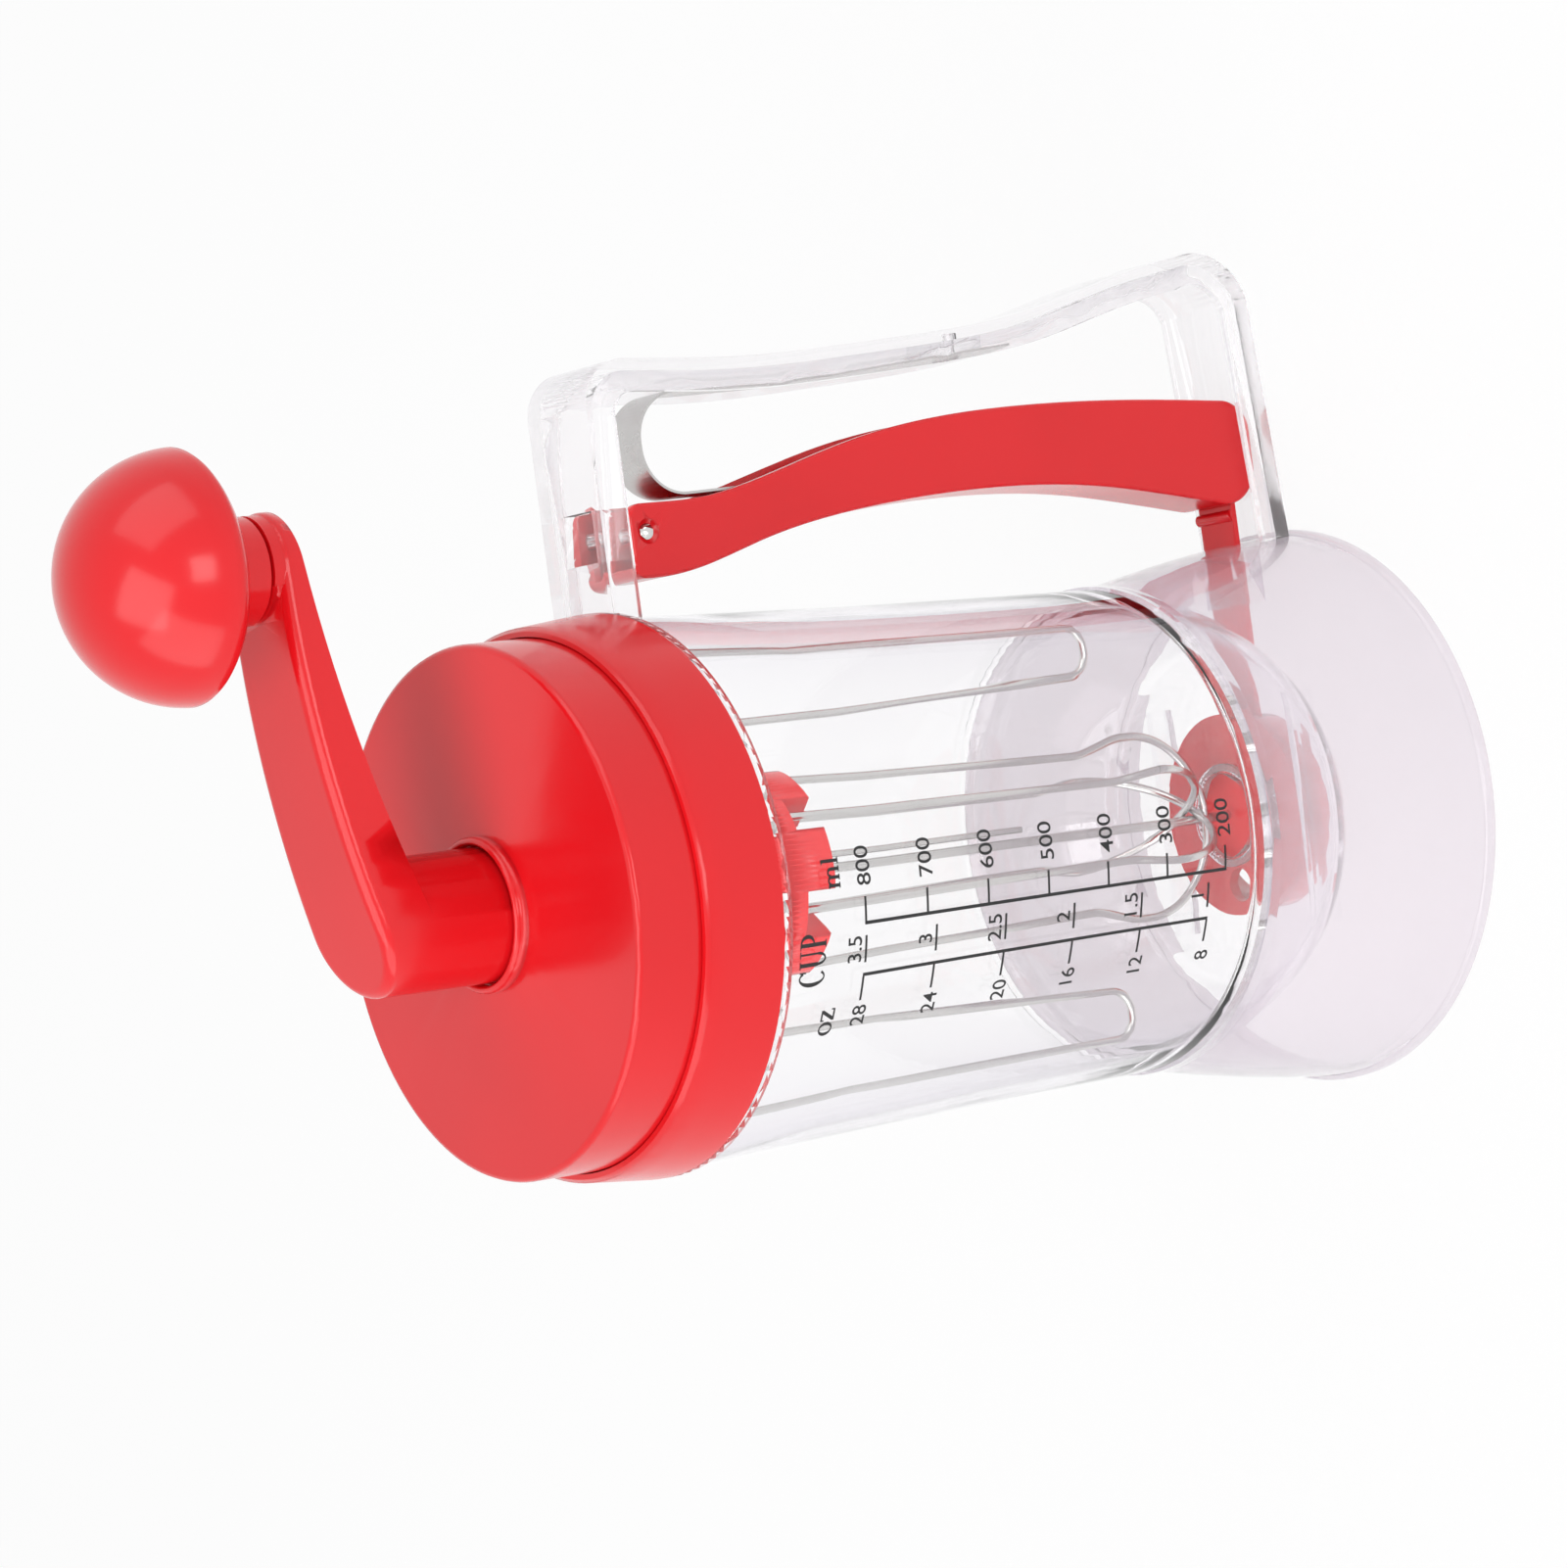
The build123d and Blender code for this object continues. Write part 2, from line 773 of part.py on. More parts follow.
def drive_shaft():
    """Steel shaft from the crank down to the whisk."""
    return double_flat(shaft_bottom_z, shaft_top_z).solid()


def arm_side():
    """The arm seen from the side: it rises from the hub and levels out at the knob."""
    back = -hub_r - arm_back
    far = crank_reach + arm_end_r + arm_back
    root_low = hub_top_z - arm_root_drop
    root_high = hub_top_z + arm_root_rise
    end_low = boss_top_z - arm_end_drop
    end_high = boss_top_z - arm_end_top
    under = ThreePointArc((back, root_low), (arm_mid_x, boss_top_z - arm_mid_drop), (far, end_low))
    over = ThreePointArc((back, root_high), (arm_crest_x, boss_top_z - arm_crest_drop), (far, end_high))
    ends = Line((far, end_low), (far, end_high)) + Line((back, root_high), (back, root_low))
    return make_face(under + over + ends)


def arm_plan():
    """The arm seen from above: two round ends joined by their tangents."""
    lean = math.acos((hub_r - arm_end_r) / crank_reach)
    hub_x, hub_y = hub_r * math.cos(lean), hub_r * math.sin(lean)
    end_x = crank_reach + arm_end_r * math.cos(lean)
    end_y = arm_end_r * math.sin(lean)
    path = Line((hub_x, hub_y), (end_x, end_y))
    path += ThreePointArc((end_x, end_y), (crank_reach + arm_end_r, 0), (end_x, -end_y))
    path += Line((end_x, -end_y), (hub_x, -hub_y))
    path += ThreePointArc((hub_x, -hub_y), (-hub_r, 0), (hub_x, hub_y))
    return make_face(path)


def crank_arm():
    """Red crank: hub, rising arm and the boss under the knob."""
    plan = Pos(0, 0, hub_bottom_z) * extrude(arm_plan(), boss_top_z - hub_bottom_z)
    arm = (plan & side_slab(arm_side(), hub_r + arm_back)).solid()
    crown = arm.faces().sort_by(lambda face: face.normal_at(face.center()).Z)[-1]
    arm = fillet(crown.edges(), arm_fillet)
    arm += disc(hub_r, hub_bottom_z, hub_top_z)
    arm += disc(arm_end_r - boss_step, boss_top_z - boss_height, boss_top_z, crank_reach)
    arm -= double_flat(hub_bottom_z - 1, shaft_top_z)
    arm -= disc(spindle_r, spindle_bottom_z, boss_top_z + 1, crank_reach)
    return arm.solid()


def knob_spindle():
    """Steel spindle that the knob turns on, with its head inside the knob."""
    spindle = disc(spindle_r, spindle_bottom_z, spindle_top_z + spindle_head, crank_reach)
    return spindle + disc(spindle_head_r, spindle_top_z, spindle_top_z + spindle_head, crank_reach)


def knob():
    """Red domed knob, hollow round the spindle's head."""
    bottom = boss_top_z + knob_gap
    top = knob_rim_z + knob_height
    neck = knob_neck_r + 1.6
    edges = Polyline(
        (0, knob_rim_z),
        (0, bottom),
        (knob_neck_r - 0.5, bottom),
        (knob_neck_r, bottom + 0.5),
        (knob_neck_r, knob_flare_z - 2.0),
        (neck, knob_flare_z - 1.2),
        (neck, knob_flare_z),
    )
    edges += ThreePointArc(
        (neck, knob_flare_z),
        ((neck + knob_r) / 2 + 2.2, knob_rim_z - 3.2),
        (knob_r - 0.5, knob_rim_z - 0.8),
    )
    edges += Polyline((knob_r - 0.5, knob_rim_z - 0.8), (knob_r, knob_rim_z), (0, knob_rim_z))
    dome = Pos(crank_reach, 0, top - knob_ball_r) * Sphere(knob_ball_r)
    body = Pos(crank_reach, 0, 0) * turned_edges(edges)
    body += dome & disc(knob_r + 1, knob_rim_z, top + 1, crank_reach)
    body -= disc(spindle_r + spindle_fit, bottom - 1, spindle_top_z, crank_reach)
    head_top = spindle_top_z + spindle_head + knob_gap
    body -= disc(spindle_head_r + spindle_fit, spindle_top_z - knob_gap, head_top, crank_reach)
    return body.solid()


# ---------------------------------------------------------------- gears
def involute(angle):
    """The involute function."""
    return math.tan(angle) - angle


def gear_face(teeth, root_r, tip_r, fill):
    """A spur gear's outline with one tooth on +X; fill is the tooth's share of its pitch."""
    pitch_r = gear_module * teeth / 2
    base_r = pitch_r * math.cos(pressure_angle)
    start_r = max(root_r, base_r)
    steps = 3
    flank = [start_r + (tip_r - start_r) * step / steps for step in range(steps + 1)]

    def half_angle(radius):
        bend = involute(pressure_angle) - involute(math.acos(min(1.0, base_r / radius)))
        return math.pi / teeth * fill + bend

    points = []
    for tooth in range(teeth):
        middle = 2 * math.pi * tooth / teeth
        rising = [(root_r, -half_angle(start_r))] + [(r, -half_angle(r)) for r in flank]
        for radius, angle in rising + [(r, -a) for r, a in reversed(rising)]:
            points.append((radius * math.cos(middle + angle), radius * math.sin(middle + angle)))
    unique = [p for i, p in enumerate(points) if math.dist(p, points[i - 1]) > 0.01]
    return make_face(Polyline(*unique, close=True))


def outer_gear(teeth):
    """A spur gear between the gears' two heights, centred on Z."""
    pitch_r = gear_module * teeth / 2
    fill = 0.5 - gear_backlash / 2
    face = gear_face(teeth, pitch_r - gear_dedendum, pitch_r + gear_addendum, fill)
    return Pos(0, 0, gear_bottom_z) * extrude(face, gear_height)


def planet_places():
    """The centres of the planet gears."""
    turns = [2 * math.pi * k / planet_count for k in range(planet_count)]
    return [(planet_circle_r * math.cos(t), planet_circle_r * math.sin(t)) for t in turns]


def sun_gear():
    """Gear on the crank's shaft."""
    return (outer_gear(sun_teeth) - double_flat(gear_bottom_z - 1, gear_top_z + 1)).solid()


def planet_gear(number):
    """One idle gear between the sun gear and the ring gear."""
    gear = outer_gear(planet_teeth) - disc(planet_pin_r + shaft_fit, gear_bottom_z - 1, gear_top_z + 1)
    x, y = planet_places()[number]
    turn = 360 * number / planet_count + 180 / planet_teeth
    return (Pos(x, y, 0) * Rot(0, 0, turn) * gear).solid()


def planet_pins():
    """Steel headed pins that the planet gears turn on."""
    pins = []
    for x, y in planet_places():
        head_z = gear_bottom_z - clip_gap - planet_head
        pin = disc(planet_pin_r, head_z, cap_under_z + cap_plate * 0.5, x, y)
        pin += disc(planet_head_r, head_z, head_z + planet_head, x, y)
        pins.append(pin.solid())
    return Compound(children=pins)


def ring_gear():
    """Toothed drum that turns the outer beaters, with its long hub on the shaft."""
    rim_r = ring_root_r + ring_rim
    body = disc(rim_r, ring_floor_top_z - ring_floor, gear_top_z + ring_top_gap)
    fill = 0.5 + gear_backlash / 2
    face = gear_face(ring_teeth, ring_pitch_r - gear_addendum, ring_root_r, fill)
    cut = Pos(0, 0, ring_floor_top_z) * Rot(0, 0, 180 / ring_teeth) * extrude(face, 20)
    body -= cut
    body += disc(ring_hub_r, plate_top_z, ring_floor_top_z)
    body -= disc(shaft_r + shaft_fit, plate_top_z - 1, ring_floor_top_z + 1)
    body -= plate_screw_shapes()
    return body.solid()


# ---------------------------------------------------------------- outer beaters
def plate_screw_shapes():
    """The screws that hold the beater plate on the ring gear's hub, as one shape."""
    screws = Part()
    for place in PolarLocations(plate_screw_circle, 3, start_angle=60):
        x, y = place.position.X, place.position.Y
        screws += disc(plate_screw_r, plate_bottom_z, plate_bottom_z + plate_screw_length, x, y)
        screws += disc(plate_screw_head_r, plate_bottom_z, plate_bottom_z + plate_screw_head, x, y)
    return screws


def plate_screws():
    """Three screws of the beater plate."""
    return Compound(children=plate_screw_shapes().solids())


def beater_plate():
    """Red disc under the lid that carries the two outer beaters."""
    body = turned([
        (shaft_r + shaft_fit, plate_bottom_z),
        (plate_r - 0.6, plate_bottom_z),
        (plate_r, plate_bottom_z + 0.6),
        (plate_r, plate_top_z - 0.8),
        (plate_r - 0.6, plate_top_z),
        (plate_rim_r, plate_top_z),
        (plate_rim_r - 2.0, plate_top_z - 0.9),
        (ring_hub_r + 3, plate_top_z - 0.9),
        (ring_hub_r + 1, plate_top_z),
        (shaft_r + shaft_fit, plate_top_z),
    ])
    body -= plate_screw_shapes()
    for turn in (0, 180):
        body -= Rot(0, 0, turn) * beater_wire()
    return body.solid()


def wire(points, radii, wire_r):
    """A round wire along a bent path drawn in X and Z."""
    path = Plane.XZ * FilletPolyline(*points, radius=radii)
    profile = Plane(origin=path @ 0, z_dir=path % 0) * Circle(wire_r)
    return sweep(profile, path)


def beater_wire():
    """One hairpin-shaped outer beater."""
    top = plate_bottom_z + socket_depth
    points = [
        (beater_outer_top, top),
        (beater_outer_bottom, beater_bottom_z),
        (beater_inner_bottom, beater_bottom_z),
        (beater_inner_top, top),
    ]
    return wire(points, (beater_bend_r, beater_bend_r), beater_wire_r)


def outer_beater(turn):
    """An outer beater at its place round the axis."""
    return (Rot(0, 0, turn) * beater_wire()).solid()


def shaft_clip():
    """Clip on the shaft that holds the beater plate up."""
    top = plate_bottom_z - clip_gap
    body = tube(clip_r, shaft_r, top - clip_thick, top)
    body -= block(0, clip_r + 1, -shaft_r * 0.7, shaft_r * 0.7, top - clip_thick, top)
    return (body - double_flat(top - clip_thick - 1, top + 1)).solid()


# ---------------------------------------------------------------- whisk
def whisk_loop(number):
    """One wire loop of the balloon whisk."""
    top = holder_bottom_z + holder_thick * 0.7
    low = whisk_bottom_z + whisk_stack * number + whisk_wire_r
    bulb = whisk_bulb_r
    knee = bulb * math.tan(math.radians(22.5))
    half = [
        (whisk_top_r, top),
        (whisk_neck_r, whisk_neck_z),
        (bulb, whisk_bulb_z + 5),
        (bulb, low + bulb - knee),
        (knee, low),
    ]
    points = half + [(-x, z) for x, z in reversed(half)]
    radii = (14, 14, bulb - 1.4, bulb - 1.4)
    loop = wire(points, radii + tuple(reversed(radii)), whisk_wire_r)
    return (Rot(0, 0, 180 * number / whisk_loops) * Pos(0, -whisk_offset, 0) * loop).solid()


def wire_angles():
    """The directions in which the whisk's wires meet the holder, in order."""
    angles = []
    tilt = math.degrees(math.atan2(-whisk_offset, whisk_top_r))
    for number in range(whisk_loops):
        turn = 180 * number / whisk_loops
        angles += [(turn + tilt) % 360, (turn + 180 - tilt) % 360]
    return sorted(angles)


def whisk_holder():
    """Red holder on the shaft's end, with lumps between the wires."""
    top = holder_bottom_z + holder_thick
    body = disc(holder_r, holder_bottom_z, top) + disc(holder_hub_r, top, top + holder_hub)
    angles = wire_angles()
    for here, there in zip(angles, angles[1:] + [angles[0] + 360]):
        lump = tube(holder_r, lump_inner_r, holder_bottom_z - lump_height, holder_bottom_z)
        wedge = Polyline(
            (0, 0),
            (40, 40 * math.tan(math.radians(lump_angle))),
            (40, -40 * math.tan(math.radians(lump_angle))),
            close=True,
        )
        sector = Pos(0, 0, holder_bottom_z - lump_height) * extrude(make_face(wedge), lump_height)
        body += Rot(0, 0, (here + there) / 2) * (lump & sector)
    body -= double_flat(shaft_bottom_z, top + holder_hub + 1)
    for number in range(whisk_loops):
        body -= whisk_loop(number)
    body -= disc(stem_r, holder_bottom_z - 1, shaft_bottom_z)
    body -= disc(rod_r, holder_bottom_z - 1, holder_bottom_z + holder_thick * 0.5, rod_x)
    return body.solid()


def whisk_stem():
    """Straight wire down the middle of the whisk, into the outlet."""
    return disc(stem_r, stem_bottom_z, shaft_bottom_z)


def short_rod():
    """Thin straight wire beside the stem."""
    return disc(rod_r, rod_bottom_z, holder_bottom_z + holder_thick * 0.5, rod_x)


def parts():
    """Every piece under the name of its node."""
    pieces = {
        "cup": cup(),
        "skirt_base": skirt_base(),
        "strap_bracket": strap_bracket(),
        "guide_rails": guide_rails(),
        "outlet_seal": outlet_seal(),
        "handle": handle(),
        "trigger_pin": trigger_pin(),
        "leaf_spring": leaf_spring(),
        "spring_rivet": rivet_shape().solid(),
        "trigger": trigger(),
        "slide_valve": slide_valve(),
        "lid_cap": lid_cap(),
        "lid_ring": lid_ring(),
        "lid_seal": lid_seal(),
        "shaft_bush": shaft_bush(),
        "planet_pins": planet_pins(),
        "crank_arm": crank_arm(),
        "drive_shaft": drive_shaft(),
        "sun_gear": sun_gear(),
        "shaft_clip": shaft_clip(),
        "knob_spindle": knob_spindle(),
        "whisk_holder": whisk_holder(),
        "whisk_stem": whisk_stem(),
        "short_rod": short_rod(),
        "knob": knob(),
        "ring_gear": ring_gear(),
        "beater_plate": beater_plate(),
        "plate_screws": plate_screws(),
        "outer_beater_a": outer_beater(0),
        "outer_beater_b": outer_beater(180),
    }
    for number in range(planet_count):
        pieces[f"planet_gear_{number + 1}"] = planet_gear(number)
    for number in range(whisk_loops):
        pieces[f"whisk_loop_{number + 1}"] = whisk_loop(number)
    return pieces


os.makedirs("parts", exist_ok=True)
for name, piece in parts().items():
    export_step(piece, f"parts/{name}.step")
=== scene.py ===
import json
import math
import bmesh
import bpy
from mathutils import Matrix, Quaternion, Vector


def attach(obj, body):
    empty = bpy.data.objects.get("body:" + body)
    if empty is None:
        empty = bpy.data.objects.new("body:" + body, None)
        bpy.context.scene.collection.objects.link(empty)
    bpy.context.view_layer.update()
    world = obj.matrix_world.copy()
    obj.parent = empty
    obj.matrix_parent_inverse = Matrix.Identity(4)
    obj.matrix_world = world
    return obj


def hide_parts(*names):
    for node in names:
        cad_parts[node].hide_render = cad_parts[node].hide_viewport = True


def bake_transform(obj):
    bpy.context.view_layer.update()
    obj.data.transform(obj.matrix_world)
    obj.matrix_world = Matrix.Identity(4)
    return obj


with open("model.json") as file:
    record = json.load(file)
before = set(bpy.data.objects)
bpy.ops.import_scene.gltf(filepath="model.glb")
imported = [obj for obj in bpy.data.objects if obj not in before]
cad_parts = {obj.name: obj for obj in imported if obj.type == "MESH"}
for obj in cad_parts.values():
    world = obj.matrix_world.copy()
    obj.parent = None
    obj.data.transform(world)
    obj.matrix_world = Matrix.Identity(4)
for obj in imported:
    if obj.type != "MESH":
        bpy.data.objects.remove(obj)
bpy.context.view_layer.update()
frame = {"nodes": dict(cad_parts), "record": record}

MM = 0.001

# ---- clear cup: outside radius and height of three rings of its hollow-curved wall, in millimetres ----
WALL_RINGS = ((51.3, 165.2), (49.2, 118.0), (47.4, 52.6))

# ---- pieces, in metres and degrees ----
WELD_DISTANCE = 0.001 * MM
AIR_FILM = 0.03 * MM
CUP_NEIGHBOURS = ("skirt_base", "handle", "guide_rails", "strap_bracket", "outlet_seal", "spring_rivet")
SMOOTH_ANGLE = 32
SPRING_SMOOTH_ANGLE = 25

# ---- print on the cup: degrees round the cup, heights and letter sizes in millimetres ----
PRINT_LIFT = 0.06
TICK_HEIGHT = 0.5
LINE_TURN = 0.75
LINE_TOP = 148.0
LONG_EDGE = 3
TALL_LINE = 20
TALL_LINE_CUTS = 24
TICK_CUTS = 6
FIGURE_HEIGHT = 3.1
FIGURE_WEIGHT = 0.03
CAPITAL_SHARE = 0.70
PEN_WEIGHT = 1.3

# ---- looks ----
RELIEF_DEPTH = 0.4 * MM
SCUFF_SCALE = 140.0
LIGHT_PASSED = 0.85
EDGE_POWER = 3.0
METAL_SHADE = 0.85
METAL_BUMP = 0.15

# ---- studio, in metres and watts ----
FLOOR_HALF = 6
FLOOR_TONE = 0.9
FLOOR_GLOW_SHARE = 0.92
AIR_COLOUR = (0.93, 0.93, 0.95)
AIR_STRENGTH = 0.42
CAMERA_PLACE = (0.0, -0.893397, 0.757096)
CAMERA_TARGET = (0.016881, 0.0, 0.126729)
CAMERA_ROLL = -96.9839
CAMERA_LENS = 133.73
SOFT_BOXES = {
    "top_box": {"place": (-0.25, -0.35, 1.1), "target": (0, 0, 0.2), "size": (0.8, 0.8), "power": 4.6},
    "left_box": {"place": (-0.85, -0.35, 0.55), "target": (0, 0, 0.15), "size": (0.8, 1.1), "power": 4.4},
    "right_box": {"place": (0.95, -0.35, 0.75), "target": (0, 0, 0.15), "size": (0.9, 1.1), "power": 4.2},
    "front_box": {"place": (0.1, -1.3, 0.5), "target": (0, 0, 0.12), "size": (0.5, 0.5), "power": 2.8},
}


# ------------------------------------------------------------------ materials
def feed(tree, value, socket):
    """Gives an input socket a number, or a link from another socket."""
    if isinstance(value, (int, float)):
        socket.default_value = value
    else:
        tree.links.new(value, socket)


def math_node(tree, operation, first, second):
    """The result of a Math node whose two inputs are sockets or numbers."""
    node = tree.nodes.new("ShaderNodeMath")
    node.operation = operation
    feed(tree, first, node.inputs[0])
    feed(tree, second, node.inputs[1])
    return node.outputs[0]


def noise(tree, place, scale, detail):
    """Noise over a place, from 0 to 1; its scale is a socket or a number."""
    node = tree.nodes.new("ShaderNodeTexNoise")
    node.inputs["Detail"].default_value = detail
    tree.links.new(place, node.inputs["Vector"])
    feed(tree, scale, node.inputs["Scale"])
    return node.outputs["Fac"]


def mixed_colour(tree, factor, first, second):
    """A colour between two colours."""
    mix = tree.nodes.new("ShaderNodeMix")
    mix.data_type = "RGBA"
    mix.inputs["A"].default_value = (*first, 1)
    mix.inputs["B"].default_value = (*second, 1)
    tree.links.new(factor, mix.inputs["Factor"])
    return mix.outputs["Result"]


def shader_group(name, inputs, outputs):
    """An empty node group with named inputs and outputs."""
    group = bpy.data.node_groups.new(name, "ShaderNodeTree")
    for label, value in inputs.items():
        socket = group.interface.new_socket(label, in_out="INPUT", socket_type="NodeSocketFloat")
        socket.default_value = value
    for label in outputs:
        group.interface.new_socket(label, in_out="OUTPUT", socket_type="NodeSocketFloat")
    return group, group.nodes.new("NodeGroupInput"), group.nodes.new("NodeGroupOutput")


def moulding_group():
    """Moulded plastic: slow flow waves, fine skin and handling scuffs."""
    inputs = {
        "Wave Scale": 30.0,
        "Wave": 0.5,
        "Skin Scale": 900.0,
        "Skin": 0.2,
        "Base Roughness": 0.2,
        "Scuff": 0.05,
    }
    group, given, result = shader_group("moulded_skin", inputs, ["Height", "Roughness", "Shade"])
    place = group.nodes.new("ShaderNodeTexCoord").outputs["Object"]
    wave = noise(group, place, given.outputs["Wave Scale"], detail=1.0)
    skin = noise(group, place, given.outputs["Skin Scale"], detail=3.0)
    scuff = noise(group, place, SCUFF_SCALE, detail=5.0)
    waves = math_node(group, "MULTIPLY", wave, given.outputs["Wave"])
    skins = math_node(group, "MULTIPLY", skin, given.outputs["Skin"])
    scuffs = math_node(group, "MULTIPLY", scuff, given.outputs["Scuff"])
    roughness = math_node(group, "ADD", scuffs, given.outputs["Base Roughness"])
    group.links.new(math_node(group, "ADD", waves, skins), result.inputs["Height"])
    group.links.new(roughness, result.inputs["Roughness"])
    group.links.new(wave, result.inputs["Shade"])
    return group


def new_material(name):
    """A node material, its tree and its Principled shader."""
    material = bpy.data.materials.new(name)
    material.use_nodes = True
    return material, material.node_tree, material.node_tree.nodes["Principled BSDF"]


def add_skin(tree, shader, values, bump):
    """Puts the moulded skin under a shader's roughness and normal, and returns its shade."""
    skin = tree.nodes.new("ShaderNodeGroup")
    skin.node_tree = MOULDING
    for label, value in values.items():
        skin.inputs[label].default_value = value
    relief = tree.nodes.new("ShaderNodeBump")
    relief.inputs["Strength"].default_value = bump
    relief.inputs["Distance"].default_value = RELIEF_DEPTH
    tree.links.new(skin.outputs["Height"], relief.inputs["Height"])
    tree.links.new(relief.outputs["Normal"], shader.inputs["Normal"])
    tree.links.new(skin.outputs["Roughness"], shader.inputs["Roughness"])
    return skin.outputs["Shade"]


def plastic(name, dark, light, roughness, bump, coat):
    """Opaque plastic whose tone drifts a little with the moulding."""
    material, tree, shader = new_material(name)
    values = {
        "Wave Scale": 26.0,
        "Wave": 0.5,
        "Skin Scale": 1400.0,
        "Skin": 0.05,
        "Base Roughness": roughness,
        "Scuff": 0.08,
    }
    shade = add_skin(tree, shader, values, bump)
    tree.links.new(mixed_colour(tree, shade, dark, light), shader.inputs["Base Color"])
    shader.inputs["Specular IOR Level"].default_value = 0.42
    shader.inputs["Coat Weight"].default_value = coat
    shader.inputs["Coat Roughness"].default_value = 0.05
    return material


def clear_plastic(name, face, edge, roughness, bump, clearness, bend):
    """Clear plastic whose colour darkens to painted shade where the eye meets it edge on, and that lets
    most of the lamps' light in.
    """
    material, tree, shader = new_material(name)
    values = {
        "Wave Scale": 45.0,
        "Wave": 1.0,
        "Skin Scale": 500.0,
        "Skin": 0.02,
        "Base Roughness": roughness,
        "Scuff": 0.02,
    }
    add_skin(tree, shader, values, bump)
    # painted shade: the colour goes from the face colour to the darker edge colour as the surface turns
    # edge on to the eye
    grazing = tree.nodes.new("ShaderNodeLayerWeight")
    grazing.inputs["Blend"].default_value = 0.5
    painted_edge_shade = math_node(tree, "POWER", grazing.outputs["Facing"], EDGE_POWER)
    tree.links.new(mixed_colour(tree, painted_edge_shade, face, edge), shader.inputs["Base Color"])
    shadow = tree.nodes.new("ShaderNodeLightPath").outputs["Is Shadow Ray"]
    passed = math_node(tree, "MULTIPLY", shadow, LIGHT_PASSED)
    tree.links.new(math_node(tree, "SUBTRACT", 1.0, passed), shader.inputs["Alpha"])
    shader.inputs["Transmission Weight"].default_value = clearness
    shader.inputs["IOR"].default_value = bend
    shader.inputs["Coat Weight"].default_value = 0.8
    shader.inputs["Coat Roughness"].default_value = 0.02
    return material


def metal(name, colour, roughness, scratch):
    """Drawn steel with a fine uneven skin."""
    material, tree, shader = new_material(name)
    values = {
        "Wave Scale": 60.0,
        "Wave": 0.3,
        "Skin Scale": 2600.0,
        "Skin": scratch,
        "Base Roughness": roughness,
        "Scuff": 0.12,
    }
    shade = add_skin(tree, shader, values, METAL_BUMP)
    dark = [channel * METAL_SHADE for channel in colour]
    tree.links.new(mixed_colour(tree, shade, dark, colour), shader.inputs["Base Color"])
    shader.inputs["Metallic"].default_value = 1.0
    return material


MOULDING = moulding_group()
RED = plastic(
    "glossy_red_plastic",
    dark=(0.68, 0.006, 0.010),
    light=(0.80, 0.010, 0.016),
    roughness=0.15,
    bump=0.12,
    coat=0.06,
)
WHITE = plastic(
    "off_white_gear_plastic",
    dark=(0.78, 0.77, 0.74),
    light=(0.84, 0.83, 0.80),
    roughness=0.35,
    bump=0.1,
    coat=0.0,
)
INK = plastic(
    "black_print",
    dark=(0.012, 0.012, 0.013),
    light=(0.02, 0.02, 0.021),
    roughness=0.4,
    bump=0.05,
    coat=0.0,
)
# the edge colours of the clear pieces below are painted shade for where they are seen edge on
CLEAR = clear_plastic(
    "clear_plastic",
    face=(0.997, 0.995, 0.998),
    edge=(0.74, 0.69, 0.79),
    roughness=0.015,
    bump=0.04,
    clearness=1.0,
    bend=1.12,
)
CLEAR_HANDLE = clear_plastic(
    "clear_handle_plastic",
    face=(0.965, 0.955, 0.965),
    edge=(0.56, 0.53, 0.60),
    roughness=0.02,
    bump=0.03,
    clearness=0.94,
    bend=1.22,
)
CLEAR_SKIRT = clear_plastic(
    "milky_skirt_plastic",
    face=(0.83, 0.78, 0.822),
    edge=(0.66, 0.61, 0.68),
    roughness=0.06,
    bump=0.05,
    clearness=0.80,
    bend=1.12,
)
SEAL = clear_plastic(
    "translucent_seal",
    face=(0.93, 0.91, 0.92),
    edge=(0.70, 0.66, 0.68),
    roughness=0.35,
    bump=0.06,
    clearness=0.88,
    bend=1.10,
)
STEEL = metal("polished_steel_wire", colour=(0.70, 0.69, 0.68), roughness=0.16, scratch=0.2)
SPRING = metal("spring_steel", colour=(0.62, 0.61, 0.60), roughness=0.22, scratch=0.3)
SLOT_MATERIALS = {
    "red_plastic": RED,
    "clear_plastic": CLEAR,
    "steel_wire": STEEL,
    "spring_steel": SPRING,
    "gear_plastic": WHITE,
    "soft_seal": SEAL,
}
NODE_MATERIALS = {"handle": CLEAR_HANDLE, "skirt_base": CLEAR_SKIRT, "spring_rivet": CLEAR_HANDLE}
NODE_SLOTS = {entry["node"]: entry["material_slot"] for entry in frame["record"]["subparts"]}
NODE_BODY = {
    node: body for body, nodes in frame["record"]["behaviour"]["bodies"].items() for node in nodes
}


# ------------------------------------------------------------------ pieces
def finish_piece(mesh, name, body, material, nodes=(), angle=SMOOTH_ANGLE):
    """Makes an object of a mesh, smooths it, and gives it its body and material."""
    piece = bpy.data.objects.new(name, mesh)
    bpy.context.scene.collection.objects.link(piece)
    mesh.materials.clear()
    mesh.materials.append(material)
    mesh.shade_smooth()
    mesh.set_sharp_from_angle(angle=math.radians(angle))
    even = piece.modifiers.new("even_normals", "WEIGHTED_NORMAL")
    even.keep_sharp = True
    if body:
        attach(piece, body)
    if nodes:
        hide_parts(*nodes)
    return piece


